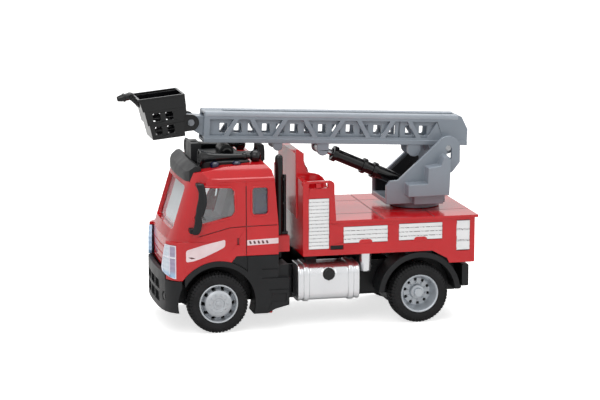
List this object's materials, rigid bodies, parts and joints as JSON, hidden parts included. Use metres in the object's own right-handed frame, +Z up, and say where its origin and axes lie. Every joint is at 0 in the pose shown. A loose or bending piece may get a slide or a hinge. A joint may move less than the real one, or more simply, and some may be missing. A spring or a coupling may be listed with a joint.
{
  "type": "toy fire engine",
  "caption": "Toy fire engine with rolling wheels, friction flywheel, and a turntable that carries a lifting, sliding ladder with a tilting rescue basket and water cannon.",
  "frame": {"origin": "ground under the middle of the bounding box", "axes": "+X from the nose to the tail, +Y to the truck's right side, +Z up"},
  "size_m": [0.2386, 0.0984, 0.1555],
  "materials": {
    "red_plastic": "gloss",
    "black_plastic": "satin",
    "black_gloss": "semi-gloss",
    "grey_plastic": "satin",
    "silver_plastic": "metallic paint",
    "front_rim_silver": "metallic paint",
    "rear_rim_grey": "metallic paint",
    "tyre_rubber": "matte",
    "window_clear": "clear",
    "headlight_clear": "clear",
    "blue_lamp": "gloss",
    "red_lamp": "gloss",
    "white_panel": "gloss",
    "cabin_grey": "satin",
    "steel": "plain",
    "flywheel_zinc": "cast",
    "gear_plastic": "satin"
  },
  "bodies": {
    "truck": {"chassis": "black_plastic", "front_bumper": "black_plastic", "rear_bumper": "black_plastic", "side_steps_left": "black_plastic", "side_steps_right": "black_plastic", "rear_fender_left": "black_plastic", "rear_fender_right": "black_plastic", "fuel_tank_left": "silver_plastic", "fuel_tank_right": "silver_plastic", "air_reservoirs": "silver_plastic", "battery_cover": "black_plastic", "chassis_screws": "steel", "motor_housing": "black_plastic", "cab_shell": "red_plastic", "cab_glazing": "window_clear", "cab_interior": "cabin_grey", "steering_wheel": "black_plastic", "headlight_left": "headlight_clear", "headlight_right": "headlight_clear", "sun_visor": "black_plastic", "roof_rack": "black_plastic", "horn_left": "black_gloss", "horn_right": "black_gloss", "roof_lamps": "blue_lamp", "mirror_left": "black_plastic", "mirror_right": "black_plastic", "exhaust_stack": "black_gloss", "body_shell": "red_plastic", "shutters_left": "white_panel", "shutters_right": "white_panel", "rear_shutter": "white_panel", "tail_lamps": "red_lamp"},
    "front_wheels": {"front_axle": "steel", "front_tyre_left": "tyre_rubber", "front_tyre_right": "tyre_rubber", "front_rim_left": "front_rim_silver", "front_rim_right": "front_rim_silver"},
    "rear_wheels": {"rear_axle": "steel", "rear_tyre_left": "tyre_rubber", "rear_tyre_right": "tyre_rubber", "rear_rim_left": "rear_rim_grey", "rear_rim_right": "rear_rim_grey", "drive_gear": "gear_plastic"},
    "motor_flywheel": {"flywheel": "flywheel_zinc"},
    "turret": {"turntable": "grey_plastic", "turntable_retainer": "black_plastic", "ram_cradle": "black_plastic", "ram_pin": "steel", "ladder_pivot_pin": "steel"},
    "ram_barrel": {"ram_cylinder": "black_gloss"},
    "ladder": {"ladder_main": "grey_plastic", "ladder_lugs": "grey_plastic", "ram_rod": "steel", "rod_pin": "steel"},
    "slider": {"ladder_slider": "grey_plastic", "basket_pin": "steel"},
    "basket": {"basket": "black_gloss"},
    "cannon": {"water_cannon": "black_gloss"},
    "button": {"sound_button": "black_gloss"}
  },
  "joints": [
    {"name": "front_axle_spin", "type": "hinge", "parent": "truck", "child": "front_wheels", "pos_m": [-0.06027, 0, 0.02], "axis": [0, 1, 0], "continuous": true},
    {"name": "rear_axle_spin", "type": "hinge", "parent": "truck", "child": "rear_wheels", "pos_m": [0.07633, 0, 0.02], "axis": [0, 1, 0], "continuous": true},
    {"name": "flywheel_spin", "type": "hinge", "parent": "truck", "child": "motor_flywheel", "pos_m": [0.07233, 0, 0.03216], "axis": [0, 1, 0], "continuous": true},
    {"name": "turntable_swivel", "type": "hinge", "parent": "truck", "child": "turret", "pos_m": [0.08463, 0, 0.0723], "axis": [0, 0, 1], "continuous": true},
    {"name": "ladder_lift", "type": "hinge", "parent": "turret", "child": "ladder", "pos_m": [0.10273, 0, 0.1134], "axis": [0, 1, 0], "range_deg": [0, 35]},
    {"name": "ram_swing", "type": "hinge", "parent": "turret", "child": "ram_barrel", "pos_m": [0.08173, 0, 0.0857], "axis": [0, 1, 0], "range_deg": [0, 35]},
    {"name": "ladder_extend", "type": "slide", "parent": "ladder", "child": "slider", "axis": [-0.9989, 0, 0.0471], "range_m": [0, 0.09]},
    {"name": "basket_tilt", "type": "hinge", "parent": "slider", "child": "basket", "pos_m": [-0.07124, 0, 0.13512], "axis": [0, 1, 0], "range_deg": [-40, 10]},
    {"name": "cannon_pitch", "type": "hinge", "parent": "basket", "child": "cannon", "pos_m": [-0.1101, 0, 0.15275], "axis": [0, 1, 0], "range_deg": [-25, 40]},
    {"name": "button_press", "type": "slide", "parent": "truck", "child": "button", "axis": [0, 1, 0], "range_m": [0, 0.0015], "stiffness_N_per_m": 60}
  ],
  "couplings": [
    {"joint": "flywheel_spin", "follows": "rear_axle_spin", "ratio": -1.6667},
    {"joint": "ram_swing", "follows": "ladder_lift", "ratio": 0.985}
  ]
}
